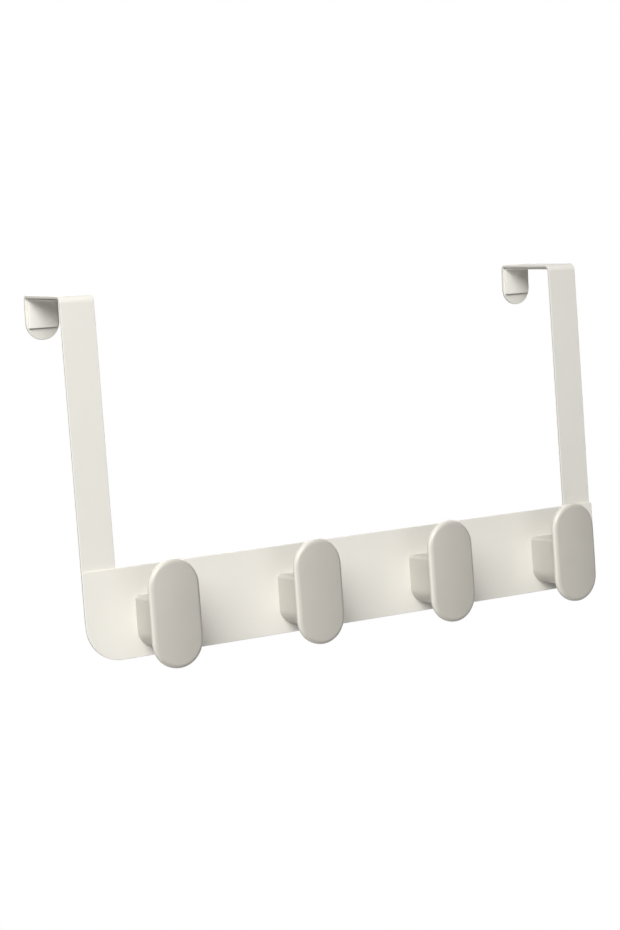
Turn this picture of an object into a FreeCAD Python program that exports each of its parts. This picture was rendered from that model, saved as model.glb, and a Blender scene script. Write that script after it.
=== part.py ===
# Coat hook rail that hangs over the top edge of a door.
# A flat steel plate carries four knobs. Two bent steel strips stand behind its ends, go over the door
# and come down behind it as short padded legs.
# X runs along the rail, +Y points from the room to the door and Z points up. The origin lies midway
# between the strips, where the front of the door meets its top edge.
import FreeCAD, Part
import Sketcher
import math
import os

vector = FreeCAD.Vector
doc = FreeCAD.newDocument("coat_hook_rail")

# Driving dimensions, in millimetres and degrees
dimensions = {
    # rail plate
    "knob_count": 4,
    "knob_pitch": 89,
    "rail_end_margin": 39,
    "rail_height": 50,
    "rail_thickness": 1.5,
    "rail_lower_radius": 20,
    "rail_upper_radius": 0.8,
    "rail_drop": 146.5,
    # bent strips that go over the door
    "strap_width": 20,
    "strap_thickness": 1.5,
    "strap_inset": 0.5,
    "strap_overlap": 28,
    "front_bend_radius": 2.5,
    "rear_bend_radius": 1.2,
    "door_gap": 46,
    "hook_tilt": 3,
    "leg_length": 23.5,
    "leg_trim": 3,
    "sheet_edge_radius": 0.35,
    # foam pads that line the hooks
    "pad_thickness": 1.2,
    "pad_leg_length": 16.8,
    "pad_front_margin": 3,
    "pad_side_margin": 1.25,
    "pad_bend_radius": 1,
    "pad_edge_radius": 0.4,
    # face plate of a knob
    "face_width": 30,
    "face_height": 59,
    "face_thickness": 4.4,
    "face_rim_radius": 2.4,
    "face_back_radius": 0.6,
    "crown_radius_across": 100,
    "crown_radius_along": 700,
    "knob_drop": 24.4,
    "knob_standoff": 29,
    # stem of a knob
    "stem_width": 18,
    "stem_height": 28.5,
    "stem_rise": 8.2,
    "stem_corner_radius": 2,
    "stem_wall": 2,
    "core_depth": 24,
    "rib_thickness": 1.5,
    "boss_diameter": 6.5,
    "pilot_depth": 14,
    # screws that hold the knobs
    "screw_spacing": 14,
    "screw_diameter": 2.8,
    "screw_length": 13,
    "screw_point": 1.6,
    "screw_hole_clearance": 1,
    "screw_head_diameter": 8,
    "screw_head_height": 1.2,
    "screw_head_radius": 0.3,
    "recess_length": 4,
    "recess_width": 0.9,
    "recess_depth": 0.7,
}

sheet = doc.addObject("Spreadsheet::Sheet", "Sizes")
for row, (alias, size) in enumerate(dimensions.items(), start=1):
    sheet.set(f"A{row}", alias)
    sheet.set(f"B{row}", str(size))
    sheet.setAlias(f"B{row}", alias)
doc.recompute()

# Sizes that follow from the driving dimensions
RAIL_LENGTH = "((Sizes.knob_count - 1) * Sizes.knob_pitch + 2 * Sizes.rail_end_margin)"
STRAP_OFFSET = f"({RAIL_LENGTH} / 2 - Sizes.strap_inset - Sizes.strap_width / 2)"
RAIL_FRONT = "(-Sizes.strap_thickness - Sizes.rail_thickness)"
KNOB_HEIGHT = "(-Sizes.rail_drop - Sizes.knob_drop)"
STEM_CENTRE = "(Sizes.stem_rise - Sizes.stem_height + Sizes.stem_width / 2)"
SCREW_MIDDLE = "(Sizes.stem_rise - Sizes.stem_height / 2)"
FACE_FRONT = "(Sizes.knob_standoff + Sizes.face_thickness)"
LEG_TIP = "(Sizes.door_gap * tan(Sizes.hook_tilt) - Sizes.leg_length * cos(Sizes.hook_tilt))"
CORE_WIDTH = "(Sizes.stem_width - 2 * Sizes.stem_wall)"
PAD_WIDTH = "(Sizes.strap_width - 2 * Sizes.pad_side_margin)"
PAD_TOP_LENGTH = "(Sizes.door_gap / cos(Sizes.hook_tilt) - Sizes.pad_front_margin)"

# Tests that pick edges. Two places closer than SAME_PLACE are one place. An edge runs along an axis
# when that part of its unit direction is above ALONG, and across it when it is below ACROSS. Faces of a
# sheet that turn by more than SHARP_TURN meet at a cut edge.
SAME_PLACE = 0.01
ALONG = 0.7
ACROSS = 0.5
SHARP_TURN = 30


def value(expression):
    """Number that an expression on the sheet gives now."""
    return float(sheet.evalExpression(expression))


def knob_place(index):
    """Distance of a knob's centre from the middle of the rail, as an expression."""
    return f"(({index} - (Sizes.knob_count - 1) / 2) * Sizes.knob_pitch)"


# Sketching
def new_body(name):
    body = doc.addObject("PartDesign::Body", name)
    body.Label = name
    return body


def new_sketch(body, name, plane, depth="0"):
    """Sketch on one of the body's origin planes, moved along the plane's normal by depth."""
    sketch = body.newObject("Sketcher::SketchObject", name)
    support = [item for item in body.Origin.OriginFeatures if item.Role == plane][0]
    sketch.AttachmentSupport = (support, [""])
    sketch.MapMode = "FlatFace"
    sketch.setExpression("AttachmentOffset.Base.z", depth)
    return sketch


def line(sketch, start, end):
    return sketch.addGeometry(Part.LineSegment(vector(*start), vector(*end)), False)


def arc(sketch, centre, radius, first, last):
    """Arc that runs anticlockwise between two angles, given in degrees."""
    circle = Part.Circle(vector(*centre), vector(0, 0, 1), radius)
    ends = (math.radians(first), math.radians(last))
    return sketch.addGeometry(Part.ArcOfCircle(circle, *ends), False)


def relate(sketch, kind, *places):
    sketch.addConstraint(Sketcher.Constraint(kind, *places))


def drive(sketch, name, expression, kind, *places):
    """Constraint with a name and a size that follows the sheet."""
    start = value(expression)
    if kind == "Angle":
        start = math.radians(start)
        expression = f"{expression} * 1 deg"
    index = sketch.addConstraint(Sketcher.Constraint(kind, *places, start))
    sketch.renameConstraint(index, name)
    sketch.setExpression(f"Constraints.{name}", expression)


def draw_circle(sketch, name, diameter, height):
    """Circle centred on the vertical axis at a height."""
    centre = vector(0, value(height), 0)
    circle = sketch.addGeometry(Part.Circle(centre, vector(0, 0, 1), value(diameter) / 2), False)
    relate(sketch, "PointOnObject", circle, 3, -2)
    drive(sketch, f"{name}_height", height, "DistanceY", -1, 1, circle, 3)
    drive(sketch, f"{name}_diameter", diameter, "Diameter", circle)


def draw_screw_circles(sketch, name, diameter, middle):
    """The same circle at both screws of a knob."""
    draw_circle(sketch, f"upper_{name}", diameter, f"{middle} + Sizes.screw_spacing / 2")
    draw_circle(sketch, f"lower_{name}", diameter, f"{middle} - Sizes.screw_spacing / 2")


def draw_box(sketch, width, top, bottom):
    """Upright rectangle centred on the vertical axis, between two heights."""
    half = value(width) / 2
    high = value(top)
    low = value(bottom)
    upper = line(sketch, (-half, high), (half, high))
    right = line(sketch, (half, high), (half, low))
    lower = line(sketch, (half, low), (-half, low))
    left = line(sketch, (-half, low), (-half, high))
    sides = (upper, right, lower, left)
    for side, following in zip(sides, sides[1:] + sides[:1]):
        relate(sketch, "Coincident", side, 2, following, 1)
    relate(sketch, "Horizontal", lower)
    relate(sketch, "Vertical", right)
    relate(sketch, "Vertical", left)
    relate(sketch, "Symmetric", upper, 1, upper, 2, -2)
    drive(sketch, "width", width, "DistanceX", upper, 1, upper, 2)
    drive(sketch, "top", top, "DistanceY", -1, 1, upper, 1)
    drive(sketch, "bottom", bottom, "DistanceY", -1, 1, lower, 1)


def draw_stadium(sketch, width, height):
    """Upright stadium centred on the origin."""
    radius = value(width) / 2
    reach = value(height) / 2 - radius
    right = line(sketch, (radius, -reach), (radius, reach))
    upper = arc(sketch, (0, reach), radius, 0, 180)
    left = line(sketch, (-radius, reach), (-radius, -reach))
    lower = arc(sketch, (0, -reach), radius, 180, 360)
    sides = (right, upper, left, lower)
    for side, following in zip(sides, sides[1:] + sides[:1]):
        relate(sketch, "Tangent", side, 2, following, 1)
    relate(sketch, "Vertical", right)
    relate(sketch, "PointOnObject", upper, 3, -2)
    relate(sketch, "Symmetric", upper, 3, lower, 3, -1, 1)
    drive(sketch, "radius", f"{width} / 2", "Radius", upper)
    drive(sketch, "reach", f"{height} - {width}", "DistanceY", lower, 3, upper, 3)


def draw_u_shape(sketch, width, top, centre):
    """Flat top, straight sides and a full round bottom struck about centre."""
    half = value(width) / 2
    high = value(top)
    low = value(centre)
    upper = line(sketch, (-half, high), (half, high))
    right = line(sketch, (half, high), (half, low))
    lower = arc(sketch, (0, low), half, 180, 360)
    left = line(sketch, (-half, low), (-half, high))
    relate(sketch, "Coincident", upper, 2, right, 1)
    relate(sketch, "Tangent", right, 2, lower, 2)
    relate(sketch, "Tangent", lower, 1, left, 1)
    relate(sketch, "Coincident", left, 2, upper, 1)
    relate(sketch, "Horizontal", upper)
    relate(sketch, "Vertical", right)
    relate(sketch, "Vertical", left)
    relate(sketch, "PointOnObject", lower, 3, -2)
    drive(sketch, "radius", f"{width} / 2", "Radius", lower)
    drive(sketch, "top", top, "DistanceY", -1, 1, upper, 1)
    drive(sketch, "centre", centre, "DistanceY", -1, 1, lower, 3)


# Features
def pad(body, sketch, length, midplane=False):
    feature = body.newObject("PartDesign::Pad", f"{sketch.Name}_pad")
    feature.Profile = sketch
    feature.setExpression("Length", length)
    feature.Midplane = midplane
    doc.recompute()
    return feature


def pocket(body, sketch, length, outward=False):
    """Cut away from the sketch's normal, or along it when outward."""
    before = body.Shape.Volume
    feature = body.newObject("PartDesign::Pocket", f"{sketch.Name}_pocket")
    feature.Profile = sketch
    feature.setExpression("Length", length)
    feature.Reversed = outward
    doc.recompute()
    if body.Shape.Volume >= before:
        raise RuntimeError(f"{feature.Name} removes nothing")
    return feature


def fillet(body, name, base, edges, radius):
    feature = body.newObject("PartDesign::Fillet", name)
    feature.Base = (base, edges)
    feature.setExpression("Radius", radius)
    doc.recompute()
    return feature


def chosen_edges(shape, wanted):
    """Names of the edges that a test accepts."""
    return [f"Edge{number}" for number, edge in enumerate(shape.Edges, start=1) if wanted(edge)]


def middle(edge):
    """Point half way along an edge."""
    return edge.valueAt((edge.FirstParameter + edge.LastParameter) / 2)


def direction(edge):
    """Direction half way along an edge."""
    return edge.tangentAt((edge.FirstParameter + edge.LastParameter) / 2)


def sheet_edges(shape):
    """Edges of a cut sheet where two faces meet at an angle, without the tangent lines of its bends."""
    names = []
    for number, edge in enumerate(shape.Edges, start=1):
        faces = shape.ancestorsOfType(edge, Part.Face)
        normals = [face.normalAt(*face.Surface.parameter(middle(edge))) for face in faces]
        if abs(normals[0].dot(normals[1])) < math.cos(math.radians(SHARP_TURN)):
            names.append(f"Edge{number}")
    return names


# Rail plate: a flat blank with square upper corners and large round lower corners, pierced for the
# screws of the knobs. Its back lies on the fronts of the two strips.
def build_rail_plate():
    body = new_body("rail_plate")
    outline = new_sketch(body, "rail_outline", "XZ_Plane", "Sizes.strap_thickness")
    half = value(RAIL_LENGTH) / 2
    high = -value("Sizes.rail_drop")
    low = high - value("Sizes.rail_height")
    radius = value("Sizes.rail_lower_radius")
    upper = line(outline, (-half, high), (half, high))
    right = line(outline, (half, high), (half, low + radius))
    right_corner = arc(outline, (half - radius, low + radius), radius, 270, 360)
    lower = line(outline, (half - radius, low), (radius - half, low))
    left_corner = arc(outline, (radius - half, low + radius), radius, 180, 270)
    left = line(outline, (-half, low + radius), (-half, high))
    relate(outline, "Coincident", upper, 2, right, 1)
    relate(outline, "Tangent", right, 2, right_corner, 2)
    relate(outline, "Tangent", right_corner, 1, lower, 1)
    relate(outline, "Tangent", lower, 2, left_corner, 2)
    relate(outline, "Tangent", left_corner, 1, left, 1)
    relate(outline, "Coincident", left, 2, upper, 1)
    relate(outline, "Horizontal", lower)
    relate(outline, "Vertical", right)
    relate(outline, "Vertical", left)
    relate(outline, "Equal", left_corner, right_corner)
    relate(outline, "Symmetric", upper, 1, upper, 2, -2)
    drive(outline, "length", RAIL_LENGTH, "DistanceX", upper, 1, upper, 2)
    drive(outline, "drop", "Sizes.rail_drop", "DistanceY", upper, 1, -1, 1)
    drive(outline, "height", "Sizes.rail_height", "DistanceY", lower, 1, upper, 1)
    drive(outline, "corner", "Sizes.rail_lower_radius", "Radius", right_corner)
    plate = pad(body, outline, "Sizes.rail_thickness")

    def upright_corner(edge):
        return abs(direction(edge).y) > ALONG and middle(edge).z > high - SAME_PLACE

    corners = chosen_edges(plate.Shape, upright_corner)
    plate = fillet(body, "rail_upper_corners", plate, corners, "Sizes.rail_upper_radius")
    plate = fillet(body, "rail_edges", plate, sheet_edges(plate.Shape), "Sizes.sheet_edge_radius")

    # The two holes of the first knob, repeated along the rail at the pitch of the knobs
    holes = new_sketch(body, "screw_holes", "XZ_Plane", "-Sizes.strap_thickness")
    holes.setExpression("AttachmentOffset.Base.x", knob_place(0))
    hole_diameter = "Sizes.screw_diameter + Sizes.screw_hole_clearance"
    draw_screw_circles(holes, "hole", hole_diameter, f"({KNOB_HEIGHT} + {SCREW_MIDDLE})")
    cut = pocket(body, holes, "4 * (Sizes.strap_thickness + Sizes.rail_thickness)", outward=True)
    row = body.newObject("PartDesign::LinearPattern", "screw_hole_row")
    row.Originals = [cut]
    row.Direction = (holes, ["H_Axis"])
    row.setExpression("Length", "(Sizes.knob_count - 1) * Sizes.knob_pitch")
    row.setExpression("Occurrences", "Sizes.knob_count")
    body.Tip = row
    return body


# Strap: one strip of sheet, bent twice. It stands behind the end of the plate, crosses the top of
# the door and comes down behind it. The second half of the hook is opened by the tilt, so that the
# door slides in, and the leg ends in a full round.
def build_strap(name, side):
    body = new_body(name)
    body.setExpression("Placement.Base.x", f"{side} * {STRAP_OFFSET}")
    section = new_sketch(body, f"{name}_section", "YZ_Plane")
    thickness = value("Sizes.strap_thickness")
    front_inner = value("Sizes.front_bend_radius")
    front_outer = front_inner + thickness
    rear_inner = value("Sizes.rear_bend_radius")
    rear_outer = rear_inner + thickness
    gap = value("Sizes.door_gap")
    tilt = math.radians(value("Sizes.hook_tilt"))
    blank_leg = "Sizes.leg_length + Sizes.leg_trim"
    back = vector(math.cos(tilt), math.sin(tilt), 0)
    down = vector(math.sin(tilt), -math.cos(tilt), 0)
    low = -value("Sizes.rail_drop + Sizes.strap_overlap")
    first_centre = vector(front_inner, -front_inner * (1 - math.sin(tilt)) / math.cos(tilt), 0)
    corner = vector(gap, gap * math.tan(tilt), 0)
    second_centre = corner - back * rear_inner + down * rear_inner
    leg_end = corner + down * value(blank_leg)
    opening = math.degrees(tilt)
    to_front = vector(-1, 0, 0)

    rear = line(section, (0, low), first_centre + to_front * front_inner)
    first_inner = arc(section, first_centre, front_inner, 90 + opening, 180)
    underside = line(section, first_centre - down * front_inner, second_centre - down * rear_inner)
    second_inner = arc(section, second_centre, rear_inner, opening, 90 + opening)
    leg_inner = line(section, second_centre + back * rear_inner, leg_end)
    tip = line(section, leg_end, leg_end + back * thickness)
    leg_outer = line(section, leg_end + back * thickness, second_centre + back * rear_outer)
    second_outer = arc(section, second_centre, rear_outer, opening, 90 + opening)
    top = line(section, second_centre - down * rear_outer, first_centre - down * front_outer)
    first_outer = arc(section, first_centre, front_outer, 90 + opening, 180)
    front = line(section, first_centre + to_front * front_outer, (-thickness, low))
    lower = line(section, (-thickness, low), (0, low))
    sharp_corner = section.addGeometry(Part.Point(corner), True)

    relate(section, "Tangent", rear, 2, first_inner, 2)
    relate(section, "Tangent", first_inner, 1, underside, 1)
    relate(section, "Tangent", underside, 2, second_inner, 2)
    relate(section, "Tangent", second_inner, 1, leg_inner, 1)
    relate(section, "Coincident", leg_inner, 2, tip, 1)
    relate(section, "Coincident", tip, 2, leg_outer, 1)
    relate(section, "Tangent", leg_outer, 2, second_outer, 1)
    relate(section, "Tangent", second_outer, 2, top, 1)
    relate(section, "Tangent", top, 2, first_outer, 1)
    relate(section, "Tangent", first_outer, 2, front, 1)
    relate(section, "Coincident", front, 2, lower, 1)
    relate(section, "Coincident", lower, 2, rear, 1)
    relate(section, "Coincident", first_inner, 3, first_outer, 3)
    relate(section, "Coincident", second_inner, 3, second_outer, 3)
    relate(section, "PointOnObject", rear, 1, -2)
    relate(section, "Vertical", rear)
    relate(section, "Vertical", front)
    relate(section, "Horizontal", lower)
    relate(section, "PointOnObject", -1, 1, underside)
    relate(section, "Perpendicular", underside, leg_inner)
    relate(section, "Perpendicular", leg_inner, tip)
    relate(section, "Parallel", leg_inner, leg_outer)
    relate(section, "PointOnObject", sharp_corner, 1, underside)
    relate(section, "PointOnObject", sharp_corner, 1, leg_inner)
    drive(section, "tilt", "Sizes.hook_tilt", "Angle", underside)
    for name, radius, bend_inner, bend_outer in (
            ("front", "Sizes.front_bend_radius", first_inner, first_outer),
            ("rear", "Sizes.rear_bend_radius", second_inner, second_outer)):
        drive(section, f"{name}_inside_bend", radius, "Radius", bend_inner)
        drive(section, f"{name}_outside_bend", f"{radius} + Sizes.strap_thickness", "Radius", bend_outer)
    drive(section, "gap", "Sizes.door_gap", "DistanceX", -1, 1, sharp_corner, 1)
    drive(section, "leg", blank_leg, "Distance", sharp_corner, 1, leg_inner, 2)
    drive(section, "drop", "Sizes.rail_drop + Sizes.strap_overlap", "DistanceY", rear, 1, -1, 1)
    pad(body, section, "Sizes.strap_width", midplane=True)

    # The blank of the leg is trimmed to a round tip as wide as the strip
    trim = new_sketch(body, f"{name}_tip", "XZ_Plane", "-Sizes.door_gap / 2")
    half = value("Sizes.strap_width") / 2
    tip_height = value(LEG_TIP)
    margin = value("Sizes.leg_trim")
    low = tip_height - 2 * margin
    round_end = arc(trim, (0, tip_height + half), half, 180, 360)
    right_top = line(trim, (half, tip_height + half), (half + margin, tip_height + half))
    right = line(trim, (half + margin, tip_height + half), (half + margin, low))
    bottom = line(trim, (half + margin, low), (-half - margin, low))
    left = line(trim, (-half - margin, low), (-half - margin, tip_height + half))
    left_top = line(trim, (-half - margin, tip_height + half), (-half, tip_height + half))
    sides = (round_end, right_top, right, bottom, left, left_top)
    for side, following in zip(sides, sides[1:] + sides[:1]):
        relate(trim, "Coincident", side, 2, following, 1)
    for level in (right_top, bottom, left_top):
        relate(trim, "Horizontal", level)
    for upright in (right, left):
        relate(trim, "Vertical", upright)
    relate(trim, "PointOnObject", round_end, 3, -2)
    for level in (right_top, left_top):
        relate(trim, "PointOnObject", round_end, 3, level)
    relate(trim, "Equal", right_top, left_top)
    drive(trim, "tip_radius", "Sizes.strap_width / 2", "Radius", round_end)
    drive(trim, "tip_centre", f"{LEG_TIP} + Sizes.strap_width / 2", "DistanceY", -1, 1, round_end, 3)
    drive(trim, "side_margin", "Sizes.leg_trim", "DistanceX", right_top, 1, right_top, 2)
    drive(trim, "depth", "Sizes.strap_width / 2 + 2 * Sizes.leg_trim", "DistanceY", right, 2, right, 1)
    cut = pocket(body, trim, "2 * Sizes.door_gap")
    fillet(body, f"{name}_edges", cut, sheet_edges(cut.Shape), "Sizes.sheet_edge_radius")
    return body


# Hook pad: one strip of foam, a little narrower than the strap. It lines the underside of the top and
# the inner face of the leg, and turns through the corner with a wider bend than the steel's. Its body
# stands in the sharp corner between the top and the leg, turned with the tilt of the hook.
def build_hook_pad(name, side):
    body = new_body(name)
    body.Placement = FreeCAD.Placement(vector(0, 0, 0), FreeCAD.Rotation(vector(1, 0, 0), 1))
    body.setExpression("Placement.Base.x", f"{side} * {STRAP_OFFSET}")
    body.setExpression("Placement.Base.y", "Sizes.door_gap")
    body.setExpression("Placement.Base.z", "Sizes.door_gap * tan(Sizes.hook_tilt)")
    body.setExpression("Placement.Rotation.Angle", "Sizes.hook_tilt * 1 deg")
    section = new_sketch(body, f"{name}_section", "YZ_Plane")
    thickness = value("Sizes.pad_thickness")
    inner = value("Sizes.pad_bend_radius")
    outer = inner + thickness
    front_end = -value(PAD_TOP_LENGTH)
    low = -value("Sizes.pad_leg_length")
    centre = (-outer, -outer)
    leg_back = line(section, (0, low), (0, -outer))
    outer_bend = arc(section, centre, outer, 0, 90)
    top = line(section, (-outer, 0), (front_end, 0))
    front = line(section, (front_end, 0), (front_end, -thickness))
    underside = line(section, (front_end, -thickness), (-outer, -thickness))
    inner_bend = arc(section, centre, inner, 0, 90)
    leg_front = line(section, (-thickness, -outer), (-thickness, low))
    lower = line(section, (-thickness, low), (0, low))
    relate(section, "Tangent", leg_back, 2, outer_bend, 1)
    relate(section, "Tangent", outer_bend, 2, top, 1)
    relate(section, "Coincident", top, 2, front, 1)
    relate(section, "Coincident", front, 2, underside, 1)
    relate(section, "Tangent", underside, 2, inner_bend, 2)
    relate(section, "Tangent", inner_bend, 1, leg_front, 1)
    relate(section, "Coincident", leg_front, 2, lower, 1)
    relate(section, "Coincident", lower, 2, leg_back, 1)
    relate(section, "Coincident", inner_bend, 3, outer_bend, 3)
    relate(section, "PointOnObject", leg_back, 1, -2)
    relate(section, "PointOnObject", top, 2, -1)
    for level in (top, underside, lower):
        relate(section, "Horizontal", level)
    for upright in (leg_back, front, leg_front):
        relate(section, "Vertical", upright)
    drive(section, "inside_bend", "Sizes.pad_bend_radius", "Radius", inner_bend)
    drive(section, "outside_bend", "Sizes.pad_bend_radius + Sizes.pad_thickness", "Radius", outer_bend)
    drive(section, "top_length", PAD_TOP_LENGTH, "DistanceX", top, 2, -1, 1)
    drive(section, "leg_length", "Sizes.pad_leg_length", "DistanceY", leg_back, 1, -1, 1)
    strip = pad(body, section, PAD_WIDTH, midplane=True)

    def clear_of_steel(edge):
        return all(max(end.Y, end.Z) < -SAME_PLACE for end in edge.Vertexes)

    cut_edges = sheet_edges(strip.Shape)
    soft_edges = [name for name in chosen_edges(strip.Shape, clear_of_steel) if name in cut_edges]
    fillet(body, f"{name}_soft_edges", strip, soft_edges, "Sizes.pad_edge_radius")
    return body


# Knob: one moulding. The stadium-shaped face is crowned both ways and rolls over into its rim. The
# stem has a flat top that a loop rests on and a full round bottom, and is cored from the rail side
# round two bosses, which a rib ties to its walls. The knob's own frame has its origin on the front
# of the rail, behind the centre of the face.
def build_knob(index):
    name = f"knob_{index + 1}"
    body = new_body(name)
    body.setExpression("Placement.Base.x", knob_place(index))
    body.setExpression("Placement.Base.y", RAIL_FRONT)
    body.setExpression("Placement.Base.z", KNOB_HEIGHT)

    face_outline = new_sketch(body, f"{name}_face", "XZ_Plane", "Sizes.knob_standoff")
    draw_stadium(face_outline, "Sizes.face_width", "Sizes.face_height")
    pad(body, face_outline, "Sizes.face_thickness")

    # The crown is turned about an axis far behind the face: an arc across the face, swept along it
    crown = new_sketch(body, f"{name}_crown", "XY_Plane")
    front = -value(FACE_FRONT)
    radius = value("Sizes.crown_radius_across")
    reach = value("Sizes.face_width")
    half_angle = math.degrees(math.asin(reach / radius))
    crown_arc = arc(crown, (0, front + radius), radius, 270 - half_angle, 270 + half_angle)
    edge_depth = front + radius - math.sqrt(radius ** 2 - reach ** 2)
    clear = front - value("Sizes.face_thickness")
    right = line(crown, (reach, edge_depth), (reach, clear))
    across = line(crown, (reach, clear), (-reach, clear))
    left = line(crown, (-reach, clear), (-reach, edge_depth))
    axis_depth = front + value("Sizes.crown_radius_along")
    axis = line(crown, (-reach, axis_depth), (reach, axis_depth))
    crown.setConstruction(axis, True)
    sides = (crown_arc, right, across, left)
    for side, following in zip(sides, sides[1:] + sides[:1]):
        relate(crown, "Coincident", side, 2, following, 1)
    relate(crown, "Vertical", right)
    relate(crown, "Vertical", left)
    relate(crown, "PointOnObject", crown_arc, 3, -2)
    relate(crown, "Symmetric", across, 1, across, 2, -2)
    relate(crown, "Symmetric", axis, 1, axis, 2, -2)
    relate(crown, "Equal", axis, across)
    drive(crown, "across", "Sizes.crown_radius_across", "Radius", crown_arc)
    drive(crown, "crown_centre", f"Sizes.crown_radius_across - {FACE_FRONT}", "DistanceY",
          -1, 1, crown_arc, 3)
    drive(crown, "reach", "2 * Sizes.face_width", "DistanceX", across, 2, across, 1)
    drive(crown, "clear", f"{FACE_FRONT} + Sizes.face_thickness", "DistanceY", across, 1, -1, 1)
    drive(crown, "axis_depth", f"Sizes.crown_radius_along - {FACE_FRONT}", "DistanceY",
          -1, 1, axis, 1)
    before = body.Shape.Volume
    turned = body.newObject("PartDesign::Groove", f"{name}_crowning")
    turned.Profile = crown
    turned.ReferenceAxis = (crown, ["Axis0"])
    turned.Midplane = True
    turned.setExpression("Angle", "4 * asin(Sizes.face_height / 2 / Sizes.crown_radius_along)")
    doc.recompute()
    if body.Shape.Volume >= before:
        raise RuntimeError(f"{turned.Name} removes nothing")

    stem_outline = new_sketch(body, f"{name}_stem", "XZ_Plane")
    draw_u_shape(stem_outline, "Sizes.stem_width", "Sizes.stem_rise", STEM_CENTRE)
    stem = pad(body, stem_outline, "Sizes.knob_standoff")

    rim_depth = -value(FACE_FRONT) + value("Sizes.face_rim_radius")
    back_depth = -value("Sizes.knob_standoff")
    face_half_width = value("Sizes.face_width") / 2
    face_half_height = value("Sizes.face_height") / 2

    def front_rim(edge):
        return middle(edge).y < rim_depth and abs(direction(edge).y) < ACROSS

    rim = fillet(body, f"{name}_rim", stem, chosen_edges(stem.Shape, front_rim),
                 "Sizes.face_rim_radius")

    def back_rim(edge):
        point = middle(edge)
        at_side = abs(abs(point.x) - face_half_width) < SAME_PLACE
        at_end = abs(abs(point.z) - face_half_height) < SAME_PLACE
        return abs(point.y - back_depth) < SAME_PLACE and (at_side or at_end)

    rim = fillet(body, f"{name}_back_rim", rim, chosen_edges(rim.Shape, back_rim),
                 "Sizes.face_back_radius")

    def stem_corner(edge):
        on_top = abs(middle(edge).z - value("Sizes.stem_rise")) < SAME_PLACE
        return on_top and abs(direction(edge).y) > ALONG

    rounded = fillet(body, f"{name}_stem_corners", rim, chosen_edges(rim.Shape, stem_corner),
                     "Sizes.stem_corner_radius")

    core = new_sketch(body, f"{name}_core", "XZ_Plane")
    draw_u_shape(core, CORE_WIDTH, "Sizes.stem_rise - Sizes.stem_wall", STEM_CENTRE)
    draw_screw_circles(core, "boss", "Sizes.boss_diameter", SCREW_MIDDLE)
    pocket(body, core, "Sizes.core_depth", outward=True)

    rib = new_sketch(body, f"{name}_rib", "XZ_Plane", "Sizes.rib_thickness")
    rib_bottom = "(Sizes.stem_rise - Sizes.stem_height + Sizes.stem_wall / 2)"
    draw_box(rib, "Sizes.rib_thickness", "Sizes.stem_rise - Sizes.stem_wall / 2", rib_bottom)
    pad(body, rib, "Sizes.core_depth - Sizes.rib_thickness")

    pilot = new_sketch(body, f"{name}_pilot", "XZ_Plane")
    draw_screw_circles(pilot, "pilot", "Sizes.screw_diameter", SCREW_MIDDLE)
    pocket(body, pilot, "Sizes.pilot_depth", outward=True)
    return body


# Screw: a thin wafer head, which stays below the fronts of the door and the strips, a plain core as
# thick as its thread's root and a short point. Its own frame has its origin under the head, on the
# back of the rail plate, with the point towards the room.
def build_screw():
    body = new_body("screw")
    profile = new_sketch(body, "screw_profile", "XY_Plane")
    head = value("Sizes.screw_head_diameter") / 2
    core = value("Sizes.screw_diameter") / 2
    rise = value("Sizes.screw_head_height")
    length = value("Sizes.screw_length")
    point = value("Sizes.screw_point")
    corners = ((0, rise), (head, rise), (head, 0), (core, 0), (core, point - length), (0, -length))
    sides = [line(profile, start, end) for start, end in zip(corners, corners[1:] + corners[:1])]
    crown, head_side, seat, shank, taper, centre_line = sides
    for side, following in zip(sides, sides[1:] + sides[:1]):
        relate(profile, "Coincident", side, 2, following, 1)
    for level in (crown, seat):
        relate(profile, "Horizontal", level)
    for upright in (head_side, shank):
        relate(profile, "Vertical", upright)
    relate(profile, "PointOnObject", crown, 1, -2)
    relate(profile, "PointOnObject", taper, 2, -2)
    relate(profile, "PointOnObject", seat, 1, -1)
    drive(profile, "head", "Sizes.screw_head_diameter / 2", "DistanceX", crown, 1, crown, 2)
    drive(profile, "core", "Sizes.screw_diameter / 2", "DistanceX", -1, 1, shank, 1)
    drive(profile, "rise", "Sizes.screw_head_height", "DistanceY", -1, 1, crown, 1)
    drive(profile, "length", "Sizes.screw_length", "DistanceY", taper, 2, -1, 1)
    drive(profile, "point", "Sizes.screw_point", "DistanceY", taper, 2, taper, 1)
    turned = body.newObject("PartDesign::Revolution", "screw_turned")
    turned.Profile = profile
    turned.ReferenceAxis = (profile, ["V_Axis"])
    turned.Angle = 360
    doc.recompute()

    def head_rim(edge):
        return abs(middle(edge).y - rise) < SAME_PLACE and edge.Closed

    rounded = fillet(body, "screw_head_rim", turned, chosen_edges(turned.Shape, head_rim),
                     "Sizes.screw_head_radius")
    for name, angle in (("upright", 0), ("level", 90)):
        slot = new_sketch(body, f"recess_{name}", "XZ_Plane", "-Sizes.screw_head_height")
        slot.AttachmentOffset = FreeCAD.Placement(vector(0, 0, -rise),
                                                  FreeCAD.Rotation(vector(0, 0, 1), angle))
        slot.setExpression("AttachmentOffset.Base.z", "-Sizes.screw_head_height")
        draw_box(slot, "Sizes.recess_width", "Sizes.recess_length / 2", "-Sizes.recess_length / 2")
        pocket(body, slot, "Sizes.recess_depth", outward=True)
    return body


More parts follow.
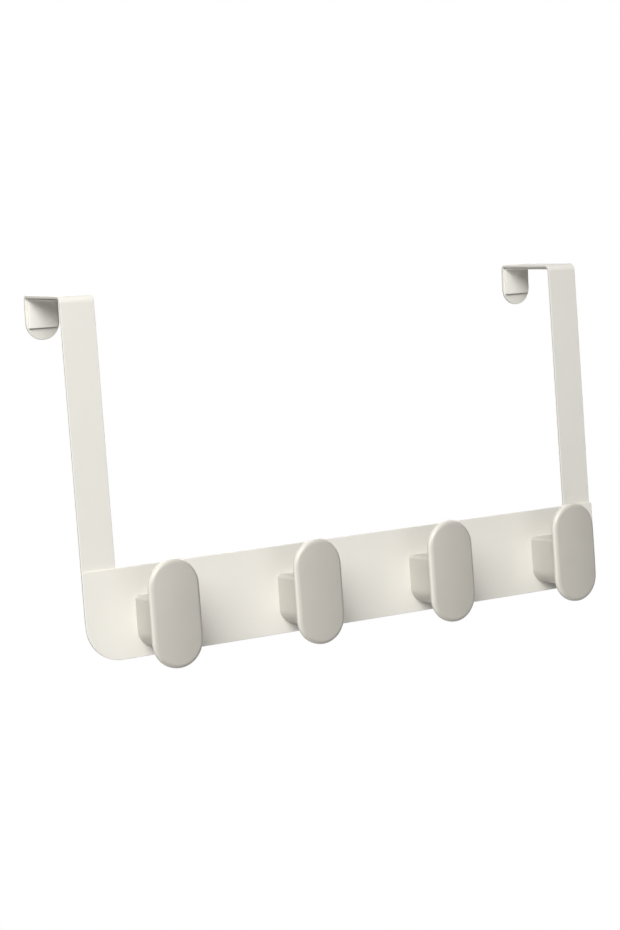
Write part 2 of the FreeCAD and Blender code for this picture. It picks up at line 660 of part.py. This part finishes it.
# The eight screws of the four knobs, as one group
def build_screw_group(screw):
    links = []
    for index in range(int(value("Sizes.knob_count"))):
        for position, sign in (("upper", "+"), ("lower", "-")):
            link = doc.addObject("App::Link", f"screw_{index + 1}_{position}")
            link.LinkedObject = screw
            link.LinkTransform = True
            height = f"{KNOB_HEIGHT} + {SCREW_MIDDLE} {sign} Sizes.screw_spacing / 2"
            link.setExpression("Placement.Base.x", knob_place(index))
            link.setExpression("Placement.Base.y", "-Sizes.strap_thickness")
            link.setExpression("Placement.Base.z", height)
            links.append(link)
    group = doc.addObject("Part::Compound", "knob_screws")
    group.Label = "knob_screws"
    group.Links = links
    return group


pieces = [
    build_rail_plate(),
    build_strap("left_strap", -1),
    build_strap("right_strap", 1),
    build_hook_pad("left_hook_pad", -1),
    build_hook_pad("right_hook_pad", 1),
]
pieces += [build_knob(index) for index in range(int(value("Sizes.knob_count")))]
pieces.append(build_screw_group(build_screw()))

doc.recompute()
for item in doc.Objects:
    if "Invalid" in item.State or "Error" in item.State:
        raise RuntimeError(f"{item.Name} failed: {item.State}")
for piece in pieces:
    if piece.Shape.isNull() or not piece.Shape.isValid():
        raise RuntimeError(f"{piece.Label} has no valid shape")

os.makedirs("parts", exist_ok=True)
for piece in pieces:
    piece.Shape.exportStep(f"parts/{piece.Label}.step")
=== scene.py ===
# Coat hook rail that hangs over the top of a door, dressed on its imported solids. Everything is in metres,
# in the frame of the solids: X along the rail, +Y from the room to the door, Z up.
import math
import bmesh
import bpy
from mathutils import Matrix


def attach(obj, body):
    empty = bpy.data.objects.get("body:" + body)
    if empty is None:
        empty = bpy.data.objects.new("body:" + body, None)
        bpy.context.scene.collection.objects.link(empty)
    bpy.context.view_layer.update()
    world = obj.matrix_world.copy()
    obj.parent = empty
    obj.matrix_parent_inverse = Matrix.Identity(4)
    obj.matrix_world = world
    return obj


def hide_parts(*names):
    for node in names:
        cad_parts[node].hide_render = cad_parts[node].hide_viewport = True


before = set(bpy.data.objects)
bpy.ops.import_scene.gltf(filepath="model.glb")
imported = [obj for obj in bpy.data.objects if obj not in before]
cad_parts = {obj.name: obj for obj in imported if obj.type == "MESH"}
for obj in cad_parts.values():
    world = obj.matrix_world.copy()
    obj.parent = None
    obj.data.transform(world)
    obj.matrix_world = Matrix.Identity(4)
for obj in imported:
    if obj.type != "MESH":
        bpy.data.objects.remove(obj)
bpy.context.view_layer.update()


# Rail plate. One blank cut from 1.5 mm steel sheet, deburred, and powder coated warm off-white with the
# straps, which are spot welded to its back. The stoved coat has a fine orange peel. The plate's coat is
# painted a touch paler than the straps', as painted light, and the cut edges are painted darker, partly for
# the thinner coat there and partly as painted shade.
millimetre = 0.001

# Sockets of the Mix node for colours, which have the same names as its sockets for numbers
MIX_FACTOR, MIX_PLAIN, MIX_TINTED, MIX_RESULT = 0, 6, 7, 2


class Signal:
    """One output of a material's nodes, so that its maths reads as plain arithmetic."""

    def __init__(self, tree, socket):
        self.tree = tree
        self.socket = socket

    def node(self, kind, settings=None, inputs=None, output=0):
        """Adds a node, with its settings first and then its sockets, and returns one of its outputs."""
        made = self.tree.nodes.new(kind)
        for name, setting in (settings or {}).items():
            setattr(made, name, setting)
        for name, given in (inputs or {}).items():
            if isinstance(given, Signal):
                self.tree.links.new(given.socket, made.inputs[name])
            else:
                made.inputs[name].default_value = given
        return Signal(self.tree, made.outputs[output] if made.outputs else None)

    def axes(self):
        """The three axes of a vector, such as a place or a surface normal."""
        split = self.node("ShaderNodeSeparateXYZ", None, {"Vector": self})
        return [Signal(self.tree, axis) for axis in split.socket.node.outputs]

    def maths(self, operation, first, second=0.0):
        return self.node("ShaderNodeMath", {"operation": operation}, {0: first, 1: second})

    def __add__(self, other):
        return self.maths("ADD", self, other)

    __radd__ = __add__

    def __sub__(self, other):
        return self.maths("SUBTRACT", self, other)

    def __rsub__(self, other):
        return self.maths("SUBTRACT", other, self)

    def __mul__(self, other):
        return self.maths("MULTIPLY", self, other)

    __rmul__ = __mul__

    def __abs__(self):
        return self.maths("ABSOLUTE", self)

    def between(self, low, high):
        """0 below low, 1 above high, and a smooth step between them."""
        sockets = {"Value": self, "From Min": low, "From Max": high}
        return self.node("ShaderNodeMapRange", {"interpolation_type": "SMOOTHSTEP"}, sockets)

    def tint(self, plain, tinted):
        """Colour that goes from plain to tinted as this signal goes from 0 to 1."""
        plain, tinted = [colour if isinstance(colour, Signal) else (*colour, 1)
                         for colour in (plain, tinted)]
        sockets = {MIX_FACTOR: self, MIX_PLAIN: plain, MIX_TINTED: tinted}
        return self.node("ShaderNodeMix", {"data_type": "RGBA"}, sockets, output=MIX_RESULT)


def new_finish(name, slot_colour, specular):
    """Material with the numbers that are the same all over it, its shader, and the place on the object."""
    finish = bpy.data.materials.new(name)
    finish.use_nodes = True
    finish.diffuse_color = (*slot_colour, 1)
    surface = finish.node_tree.nodes["Principled BSDF"]
    surface.inputs["Specular IOR Level"].default_value = specular
    place = Signal(finish.node_tree, None).node("ShaderNodeTexCoord", output="Object")
    return finish, surface, place


def facing(place):
    """The axes of the surface normal, of which each goes from -1 to 1."""
    return place.node("ShaderNodeNewGeometry", output="Normal").axes()


def grain(place, lumps, detail=2.0):
    """Noise from 0 to 1 with so many lumps per metre."""
    sockets = {"Vector": place, "Scale": lumps, "Detail": detail, "Roughness": 0.5}
    return place.node("ShaderNodeTexNoise", None, sockets)


def relief(height, strength, depth):
    """Normal of a surface whose height goes from 0 to 1 over a depth in metres."""
    return height.node("ShaderNodeBump", None, {"Strength": strength, "Distance": depth, "Height": height})


def wire(surface, socket, signal):
    """Lets a signal feed one of the shader's sockets."""
    signal.tree.links.new(signal.socket, surface.inputs[socket])


def dress(node, finish):
    """Gives a solid of the frame its finish."""
    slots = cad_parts[node].data.materials
    slots.clear()
    slots.append(finish)


COAT_COLOUR = (0.80, 0.777, 0.716)
COAT_SHADE = (0.775, 0.754, 0.696)
# Cut edge colour: darker partly for the thinner coat and partly as painted shade
COAT_EDGE_THIN_AND_SHADED = (0.62, 0.60, 0.55)
EDGE_THIN_AND_SHADE_AMOUNT = 0.85
COAT_ROUGHNESS = 0.40
# Factor by which the plate's coat is painted paler than the straps', as painted light
PLATE_PAINTED_LIGHT = 1.05


def powder_coat(name, cut_edge, painted_light=1.0):
    """Stoved powder coat. cut_edge takes the axes of the surface normal and gives 1 on the cut edges, which
    are painted darker, partly for the thin coat there and partly as painted shade; a factor pales the whole
    coat, as painted light.
    """
    finish, surface, place = new_finish(name, COAT_COLOUR, specular=0.35)
    # The factor pales every colour of the coat, as painted light
    full, shade, thin_and_shaded = [tuple(painted_light * part for part in colour)
                         for colour in (COAT_COLOUR, COAT_SHADE, COAT_EDGE_THIN_AND_SHADED)]
    cloud = grain(place, lumps=16, detail=3)
    speckle = grain(place, lumps=2600)
    peel = grain(place, lumps=620, detail=1)
    fine_peel = grain(place, lumps=2900)
    edge = cut_edge(*facing(place)).between(0.55, 1.0)
    body = (0.65 * cloud + 0.35 * speckle).between(0.3, 0.75).tint(full, shade)
    # Cut edges are painted darker, partly for the thinner coat and partly as painted shade
    wire(surface, "Base Color", (EDGE_THIN_AND_SHADE_AMOUNT * edge).tint(body, thin_and_shaded))
    wire(surface, "Roughness", COAT_ROUGHNESS + 0.10 * peel + 0.06 * cloud + 0.08 * edge)
    wire(surface, "Normal", relief(0.7 * peel + 0.3 * fine_peel, strength=0.5, depth=0.04 * millimetre))
    return finish


# The plate's coat is painted paler than the straps', as painted light
dress("rail_plate", powder_coat("rail_coat", lambda x, y, z: 1 - abs(y), PLATE_PAINTED_LIGHT))


# Straps. Two 20 mm strips of the same sheet and the same coat, each bent twice to go over the door. Their
# flat sides are coated in full; the two long cut edges are painted darker, partly for the thinner coat
# there and partly as painted shade.
strap_coat = powder_coat("strap_coat", lambda x, y, z: abs(x))
dress("left_strap", strap_coat)
dress("right_strap", strap_coat)


# Hook pads. A strip of dense closed-cell foam, 1.2 mm thick, is stuck under the top of each hook and down
# the inside of its leg, so that it grips the door without marking it. The sides of the strip are painted
# darker than its face, as painted shade, and its lower cut end is painted dark, as the painted shadow under
# the strip's lower edge.

# Turn that stands a flat primitive up, along the rail and facing the room
UPRIGHT = (math.pi / 2, 0, 0)

# How near to a plane a point counts as on it, when parts of a mesh are picked
HAIR = 0.02 * millimetre


def start_piece(name, add, **shape):
    """Adds a primitive at its size and place as a new piece of that name, with nothing else selected."""
    bpy.ops.object.select_all(action="DESELECT")
    add(**shape)
    piece = bpy.context.active_object
    piece.name = name
    piece.data.name = name
    bpy.ops.object.transform_apply(location=True, rotation=True, scale=True)
    return piece


def edit():
    bpy.ops.object.mode_set(mode="EDIT")


def done():
    bpy.ops.object.mode_set(mode="OBJECT")


def pick(kind, wanted):
    """Selects only the vertices, edges or faces of which every corner passes the test."""
    bpy.ops.mesh.select_mode(type=kind)
    bpy.ops.mesh.select_all(action="DESELECT")
    shape = bmesh.from_edit_mesh(bpy.context.edit_object.data)
    parts = {"VERT": shape.verts, "EDGE": shape.edges, "FACE": shape.faces}[kind]
    for part in parts:
        corners = [part] if kind == "VERT" else part.verts
        part.select_set(all(wanted(corner.co) for corner in corners))
    bmesh.update_edit_mesh(bpy.context.edit_object.data)


def turn_faces_out():
    bpy.ops.mesh.select_all(action="SELECT")
    bpy.ops.mesh.normals_make_consistent(inside=False)


def modify(piece, kind, **settings):
    """Adds a modifier and applies it at once."""
    bpy.context.view_layer.objects.active = piece
    modifier = piece.modifiers.new(kind.lower(), kind)
    for name, setting in settings.items():
        setattr(modifier, name, setting)
    bpy.ops.object.modifier_apply(modifier=modifier.name)


STRAP_CENTRE = 162 * millimetre
DOOR_GAP = 46 * millimetre
HOOK_TILT = math.radians(3)
PAD_WIDTH = 17.5 * millimetre
PAD_THICKNESS = 1.2 * millimetre
PAD_LEG = 16.8 * millimetre
PAD_FRONT_MARGIN = 3 * millimetre
PAD_TOP = DOOR_GAP / math.cos(HOOK_TILT) - PAD_FRONT_MARGIN
PAD_BEND = 2.2 * millimetre
PAD_EDGE = 0.2 * millimetre
PAD_BEND_STEPS = 8
PAD_TOP_STEPS = 30


def line_hook(name):
    """Strip with its back on y = 0, down the leg, and on z = 0, under the top, bent between the two."""
    strip = start_piece(name, bpy.ops.mesh.primitive_grid_add, x_subdivisions=14, y_subdivisions=12, size=1,
                        rotation=UPRIGHT)

    # The grid is added square, so the straight part of the leg gets its size here
    strip.scale = (PAD_WIDTH, 1, PAD_LEG - PAD_BEND)
    strip.location.z = -(PAD_LEG + PAD_BEND) / 2
    bpy.ops.object.transform_apply(location=True, rotation=True, scale=True)
    edit()
    pick("EDGE", lambda at: at.z > -PAD_BEND - HAIR)
    bpy.ops.mesh.spin(steps=PAD_BEND_STEPS, angle=-math.pi / 2, center=(0, -PAD_BEND, -PAD_BEND),
                      axis=(1, 0, 0))
    step = (0, (PAD_BEND - PAD_TOP) / PAD_TOP_STEPS, 0)
    for _ in range(PAD_TOP_STEPS):
        bpy.ops.mesh.extrude_edges_move(TRANSFORM_OT_translate={"value": step})
    done()
    modify(strip, "SOLIDIFY", thickness=PAD_THICKNESS, offset=1, use_even_offset=True)

    def on_soft_edge(at):
        at_cut = abs(at.x) > PAD_WIDTH / 2 - HAIR or at.z < -PAD_LEG + HAIR or at.y < -PAD_TOP + HAIR
        return at_cut and max(at.y, at.z) < -PAD_THICKNESS + HAIR

    edit()
    pick("EDGE", on_soft_edge)
    bpy.ops.mesh.bevel(offset=PAD_EDGE, segments=4)
    turn_faces_out()
    done()
    return strip


FOAM_COLOUR = (0.92, 0.902, 0.845)
FOAM_SHADE = (0.86, 0.842, 0.785)
# Sides of the strip, painted darker as painted shade
FOAM_SIDE_SHADE = (0.76, 0.74, 0.685)
# Lower cut end, painted dark as the painted shadow under the strip's edge
FOAM_END_SHADOW = (0.36, 0.345, 0.31)
FOAM_ROUGHNESS = 0.78
CELLS_PER_METRE = 3200
# Heights over which the painted shadow on the lower cut end comes in
END_SHADOW_START = 8 * millimetre
END_SHADOW_FULL = 12 * millimetre

foam, foam_surface, foam_place = new_finish("pad_foam", slot_colour=(0.86, 0.845, 0.80), specular=0.25)
cells = foam_place.node("ShaderNodeTexVoronoi", {"feature": "SMOOTH_F1"},
                        {"Vector": foam_place, "Scale": CELLS_PER_METRE}, output="Distance")
foam_cloud = grain(foam_place, lumps=220)
across, _, upward = facing(foam_place)
_, _, height = foam_place.axes()
foam_face = (0.5 * cells + 0.5 * foam_cloud).between(0.2, 0.8).tint(FOAM_COLOUR, FOAM_SHADE)
# The sides are painted darker, as painted shade
foam_shaded_sides = abs(across).between(0.3, 0.8).tint(foam_face, FOAM_SIDE_SHADE)
# The down-facing lower cut end is painted dark, as painted shadow
shadowed_lower_end = (0 - upward).between(0.3, 0.8) * (0 - height).between(END_SHADOW_START, END_SHADOW_FULL)
wire(foam_surface, "Base Color", shadowed_lower_end.tint(foam_shaded_sides, FOAM_END_SHADOW))
wire(foam_surface, "Roughness", FOAM_ROUGHNESS + 0.12 * cells)
wire(foam_surface, "Normal", relief(cells + 0.5 * foam_cloud, strength=0.4, depth=0.05 * millimetre))

for name, side in (("left_hook_pad", -1), ("right_hook_pad", 1)):
    hook_pad = line_hook(f"{name}_foam")
    hook_pad.rotation_euler.x = HOOK_TILT
    hook_pad.location = (side * STRAP_CENTRE, DOOR_GAP, DOOR_GAP * math.tan(HOOK_TILT))
    bpy.ops.object.transform_apply(location=True, rotation=True, scale=True)
    bpy.ops.object.shade_smooth_by_angle(angle=math.radians(40))
    hook_pad.data.materials.append(foam)
    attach(hook_pad, "root")
    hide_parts(name)


# Knobs. Each is one injection moulding in satin greige plastic: a crowned stadium face that rolls over into
# its rim, on a stem with a flat top for the loop and a round bottom. The stem is cored from the rail side
# round two screw bosses and a rib. The rolled rim is painted paler than the face, as a painted highlight,
# and made a little smoother.
KNOB_COUNT = 4
KNOB_PITCH = 89 * millimetre
KNOB_HEIGHT = -170.9 * millimetre
KNOB_FRONT = -36.4 * millimetre
FACE_WIDTH = 30 * millimetre
FACE_HEIGHT = 59 * millimetre
FACE_THICKNESS = 4.4 * millimetre
FACE_RIM = 2.4 * millimetre
FACE_BACK_EDGE = 0.6 * millimetre
FACE_STEPS = 96
FACE_ROWS = 31
FACE_RINGS = 7
RIM_BAND = 0.1 * millimetre
RING_WIDTH = 1.6 * millimetre
MIDDLE_REACH = 1.5 * millimetre
CROWN_ACROSS = 100 * millimetre
CROWN_ALONG = 700 * millimetre
STEM_WIDTH = 18 * millimetre
STEM_HEIGHT = 28.5 * millimetre
STEM_RISE = 8.2 * millimetre
STEM_LENGTH = 29 * millimetre
STEM_CORNER = 2 * millimetre
STEM_WALL = 2 * millimetre
CORE_DEPTH = 24 * millimetre
RIB_THICKNESS = 1.5 * millimetre
BOSS_DIAMETER = 6.5 * millimetre
PILOT_DIAMETER = 2.8 * millimetre
PILOT_DEPTH = 14 * millimetre
SCREW_SPACING = 14 * millimetre


def mould_face():
    """Face plate with its front centre at the origin and its back towards +Y."""
    radius = FACE_WIDTH / 2
    half_step = math.pi / FACE_STEPS
    reach = FACE_HEIGHT / 2 - radius
    face = start_piece("knob_face", bpy.ops.mesh.primitive_circle_add, vertices=FACE_STEPS, radius=radius,
                       location=(0, FACE_THICKNESS, 0), rotation=(math.pi / 2, half_step, 0))
    edit()

    # The halves of the circle are drawn apart into a stadium, and the straight sides cut into rows
    for side in (1, -1):
        pick("VERT", lambda at: side * at.z > 0)
        bpy.ops.transform.translate(value=(0, 0, side * reach))
    pick("EDGE", lambda at: abs(at.z) < reach + radius * half_step + HAIR)
    bpy.ops.mesh.subdivide(number_cuts=FACE_ROWS - 1)
    bpy.ops.mesh.select_all(action="SELECT")
    bpy.ops.mesh.edge_face_add()
    bpy.ops.mesh.extrude_region_move(TRANSFORM_OT_translate={"value": (0, -FACE_THICKNESS, 0)})

    # The front rolls over into the rim, and the back edge is softened
    pick("EDGE", lambda at: at.y < HAIR)
    bpy.ops.mesh.bevel(offset=FACE_RIM, segments=10)
    pick("EDGE", lambda at: at.y > FACE_THICKNESS - HAIR)
    bpy.ops.mesh.bevel(offset=FACE_BACK_EDGE, segments=5)

    # Rings, and rows across the long middle, let the flat front follow the crown
    pick("FACE", lambda at: at.y < HAIR)
    bpy.ops.mesh.inset(thickness=RIM_BAND)
    for _ in range(FACE_RINGS):
        bpy.ops.mesh.inset(thickness=RING_WIDTH)
    for row in range(FACE_ROWS + 1):
        pick("FACE", lambda at: at.y < HAIR and abs(at.x) < MIDDLE_REACH)
        bpy.ops.mesh.bisect(plane_co=(0, 0, reach * (2 * row / FACE_ROWS - 1)), plane_no=(0, 0, 1))
    turn_faces_out()
    done()

    # The crown drops the front away from its middle, far more across than along
    for vertex in face.data.vertices:
        at = vertex.co
        if at.y < FACE_RIM + HAIR:
            at.y += at.x ** 2 / (2 * CROWN_ACROSS) + at.z ** 2 / (2 * CROWN_ALONG)
    return face


def mould_stem(name, width, top, centre, near, far, corner):
    """Prism with a flat top and a full round bottom, along Y from near to far."""
    stem = start_piece(name, bpy.ops.mesh.primitive_circle_add, vertices=64, radius=width / 2,
                       location=(0, near, centre), rotation=UPRIGHT)
    edit()
    pick("VERT", lambda at: at.z > centre + HAIR)
    bpy.ops.mesh.delete(type="VERT")
    pick("VERT", lambda at: at.z > centre - HAIR)
    bpy.ops.mesh.extrude_vertices_move(TRANSFORM_OT_translate={"value": (0, 0, top - centre)})
    bpy.ops.mesh.edge_face_add()
    bpy.ops.mesh.select_all(action="SELECT")
    bpy.ops.mesh.edge_face_add()
    if corner:
        pick("VERT", lambda at: at.z > top - HAIR)
        bpy.ops.mesh.bevel(offset=corner, segments=5, affect="VERTICES")
    bpy.ops.mesh.select_all(action="SELECT")
    bpy.ops.mesh.extrude_region_move(TRANSFORM_OT_translate={"value": (0, far - near, 0)})
    turn_faces_out()
    done()
    return stem


def mould_rod(name, diameter, near, far, height):
    """Round rod along Y from near to far."""
    return start_piece(name, bpy.ops.mesh.primitive_cylinder_add, vertices=32, radius=diameter / 2,
                       depth=far - near, location=(0, (near + far) / 2, height), rotation=UPRIGHT)


def mould_knob():
    """Face and stem in one, then the core from the rail side, with its rib, bosses and pilot holes."""
    face = mould_face()
    stem_centre = STEM_RISE - STEM_HEIGHT + STEM_WIDTH / 2
    stem_middle = STEM_RISE - STEM_HEIGHT / 2
    stem_end = FACE_THICKNESS + STEM_LENGTH
    core_end = stem_end - CORE_DEPTH

    # Rib and bosses run half a wall into the moulding, so that they join it
    bite = STEM_WALL / 2
    rib_near = core_end - bite
    rib_far = stem_end - RIB_THICKNESS
    stem = mould_stem("knob_stem", STEM_WIDTH, STEM_RISE, stem_centre, FACE_THICKNESS / 2, stem_end,
                      STEM_CORNER)
    core = mould_stem("knob_core", STEM_WIDTH - 2 * STEM_WALL, STEM_RISE - STEM_WALL, stem_centre, core_end,
                      stem_end + STEM_WALL, corner=0)
    rib = start_piece("knob_rib", bpy.ops.mesh.primitive_cube_add, size=1,
                      location=(0, (rib_near + rib_far) / 2, stem_middle),
                      scale=(RIB_THICKNESS, rib_far - rib_near, STEM_HEIGHT - 2 * bite))
    screw_heights = (stem_middle + SCREW_SPACING / 2, stem_middle - SCREW_SPACING / 2)
    bosses = [mould_rod("knob_boss", BOSS_DIAMETER, rib_near, stem_end, height) for height in screw_heights]
    pilots = [mould_rod("knob_pilot", PILOT_DIAMETER, stem_end - PILOT_DEPTH, stem_end + bite, height)
              for height in screw_heights]
    steps = [("UNION", stem), ("DIFFERENCE", core), ("UNION", rib)]
    steps += [("UNION", boss) for boss in bosses]
    steps += [("DIFFERENCE", pilot) for pilot in pilots]
    for operation, part in steps:
        modify(face, "BOOLEAN", operation=operation, object=part)
        bpy.data.objects.remove(part)
    return face


PLASTIC_COLOUR = (0.535, 0.512, 0.46)
PLASTIC_SHADE = (0.51, 0.487, 0.438)
# Rim colour, a painted highlight
PLASTIC_RIM_HIGHLIGHT = (0.75, 0.718, 0.648)
PLASTIC_ROUGHNESS = 0.27

plastic, plastic_surface, plastic_place = new_finish("knob_plastic", slot_colour=(0.52, 0.5, 0.45),
                                                     specular=0.45)
plastic_cloud = grain(plastic_place, lumps=40)
spark = grain(plastic_place, lumps=3600, detail=3)
_, inward, _ = facing(plastic_place)
_, depth, _ = plastic_place.axes()
roll_over = 1 - depth.between(KNOB_FRONT + FACE_RIM, KNOB_FRONT + FACE_THICKNESS)
# Mask of the rolled rim, which gets the painted highlight and a smoother finish
rim_highlight_and_polish = roll_over * (1 - abs(inward)).between(0.05, 0.6)
plastic_body = (0.7 * plastic_cloud + 0.3 * spark).between(0.3, 0.75).tint(PLASTIC_COLOUR, PLASTIC_SHADE)
wire(plastic_surface, "Base Color", rim_highlight_and_polish.tint(plastic_body, PLASTIC_RIM_HIGHLIGHT))
wire(plastic_surface, "Roughness", PLASTIC_ROUGHNESS + 0.10 * spark + 0.05 * plastic_cloud - 0.04 * rim_highlight_and_polish)
wire(plastic_surface, "Normal", relief(spark, strength=0.4, depth=0.025 * millimetre))

moulding = mould_knob()
for index in range(KNOB_COUNT):
    knob = moulding.copy()
    knob.data = moulding.data.copy()
    knob.name = knob.data.name = f"knob_{index + 1}_moulding"
    bpy.context.collection.objects.link(knob)
    bpy.ops.object.select_all(action="DESELECT")
    knob.select_set(True)
    bpy.context.view_layer.objects.active = knob
    knob.location = ((index - (KNOB_COUNT - 1) / 2) * KNOB_PITCH, KNOB_FRONT, KNOB_HEIGHT)
    bpy.ops.object.transform_apply(location=True, rotation=True, scale=True)
    bpy.ops.object.shade_smooth_by_angle(angle=math.radians(35))
    modify(knob, "WEIGHTED_NORMAL", keep_sharp=True)
    knob.data.materials.append(plastic)
    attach(knob, "root")
    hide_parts(f"knob_{index + 1}")
bpy.data.objects.remove(moulding)


# Knob screws. Eight short screws with thin wafer heads on the back of the rail plate, bright zinc plated,
# turned up tight from behind into the bosses of the knobs.
ZINC_COLOUR = (0.66, 0.66, 0.645)
ZINC_SHADE = (0.55, 0.55, 0.53)
ZINC_ROUGHNESS = 0.28

zinc, zinc_surface, zinc_place = new_finish("screw_zinc", slot_colour=(0.62, 0.62, 0.60), specular=0.5)
zinc_surface.inputs["Metallic"].default_value = 1.0
zinc_cloud = grain(zinc_place, lumps=700)
zinc_grit = grain(zinc_place, lumps=6000, detail=1)
wire(zinc_surface, "Base Color", zinc_cloud.between(0.3, 0.7).tint(ZINC_COLOUR, ZINC_SHADE))
wire(zinc_surface, "Roughness", ZINC_ROUGHNESS + 0.14 * zinc_cloud)
wire(zinc_surface, "Normal", relief(zinc_grit, strength=0.2, depth=0.01 * millimetre))
dress("knob_screws", zinc)


# Studio. A pale floor well below the rail, which hangs clear of it, in a white room. The floor fades into
# the white of the room away from the rail, and keeps the rail's shadow. Three soft boxes stand in the room.
FLOOR_HEIGHT = -1.5
FLOOR_RADIUS = 8
FLOOR_COLOUR = (0.66, 0.66, 0.65)
FLOOR_GLOW = 0.55
FADE_START = 0.9
FADE_END = 1.9
ROOM_LIGHT = 0.01
WHITE = (1, 1, 1, 1)

floor = start_piece("floor", bpy.ops.mesh.primitive_circle_add, vertices=96, radius=FLOOR_RADIUS,
                    fill_type="NGON", location=(0, 0, FLOOR_HEIGHT))
floor_finish = bpy.data.materials.new("floor_paint")
floor_finish.use_nodes = True
floor_finish.node_tree.nodes.clear()
floor_start = Signal(floor_finish.node_tree, None)
floor_place = floor_start.node("ShaderNodeTexCoord", output="Object")
flat_place = floor_start.node("ShaderNodeVectorMath", {"operation": "MULTIPLY"},
                              {0: floor_place, 1: (1, 1, 0)})
from_middle = floor_start.node("ShaderNodeVectorMath", {"operation": "LENGTH"}, {0: flat_place},
                               output="Value")
camera_ray = floor_start.node("ShaderNodeLightPath", output="Is Camera Ray")
glossy_ray = floor_start.node("ShaderNodeLightPath", output="Is Glossy Ray")
fade = FLOOR_GLOW + (1 - FLOOR_GLOW) * from_middle.between(FADE_START, FADE_END)
matt = floor_start.node("ShaderNodeBsdfDiffuse", None, {"Color": (*FLOOR_COLOUR, 1)})
glow = floor_start.node("ShaderNodeEmission", None, {"Color": WHITE, "Strength": 1.0})
shown = (camera_ray + glossy_ray) * fade
mixed = floor_start.node("ShaderNodeMixShader", None, {0: shown, 1: matt, 2: glow})
floor_start.node("ShaderNodeOutputMaterial", None, {"Surface": mixed})
floor.data.materials.append(floor_finish)

room = bpy.data.worlds.new("white_room")
bpy.context.scene.world = room
room.use_nodes = True
room.node_tree.nodes.clear()
room_start = Signal(room.node_tree, None)
seen = room_start.node("ShaderNodeLightPath", output="Is Camera Ray")
mirrored = room_start.node("ShaderNodeLightPath", output="Is Glossy Ray")
through = room_start.node("ShaderNodeLightPath", output="Is Transmission Ray")
strength = ROOM_LIGHT + (1 - ROOM_LIGHT) * seen.maths("MINIMUM", seen + mirrored + through, 1.0)
room_light = room_start.node("ShaderNodeBackground", None, {"Color": WHITE, "Strength": strength})
room_start.node("ShaderNodeOutputWorld", None, {"Surface": room_light})

LAMP_AIM = (0, 0, -0.1)


def soft_box(name, place, size, power):
    """Square soft box at a place, turned to face the rail."""
    bpy.ops.object.select_all(action="DESELECT")
    bpy.ops.object.light_add(type="AREA", location=place)
    light = bpy.context.active_object
    light.name = name
    light.data.shape = "SQUARE"
    light.data.size = size
    light.data.energy = power
    light.visible_camera = False
    across, along, rise = [a - b for a, b in zip(LAMP_AIM, place)]
    tilt = math.atan2(rise, math.hypot(across, along))
    light.rotation_euler = (math.pi / 2 + tilt, 0, math.atan2(along, across) - math.pi / 2)


soft_box("key_lamp", (-1.40, -1.35, 1.31), size=1.6, power=80)
soft_box("fill_lamp", (-0.20, -2.34, -0.60), size=1.3, power=7)
soft_box("back_lamp", (0.56, 2.09, 0.28), size=1.5, power=24)

# Camera where the photograph was taken from, turned by these degrees. The focal length was fitted in pixels
# of the photograph, whose taller side is set against the sensor's size.
CAMERA_PLACE = (-0.6042, -0.9979, -0.0155)
CAMERA_TURN = (85.633, 4.157, -30.443)
FOCAL_PIXELS = 2025.714
IMAGE_HEIGHT = 930
SENSOR_SIZE = 36
bpy.ops.object.camera_add(location=CAMERA_PLACE)
camera = bpy.context.active_object
camera.name = "camera"
camera.rotation_euler = [math.radians(degrees) for degrees in CAMERA_TURN]
camera.data.sensor_width = SENSOR_SIZE
camera.data.lens = FOCAL_PIXELS / IMAGE_HEIGHT * SENSOR_SIZE
camera.data.clip_start = 0.01
camera.data.clip_end = 50
bpy.context.scene.camera = camera
bpy.context.scene.view_settings.view_transform = "Standard"
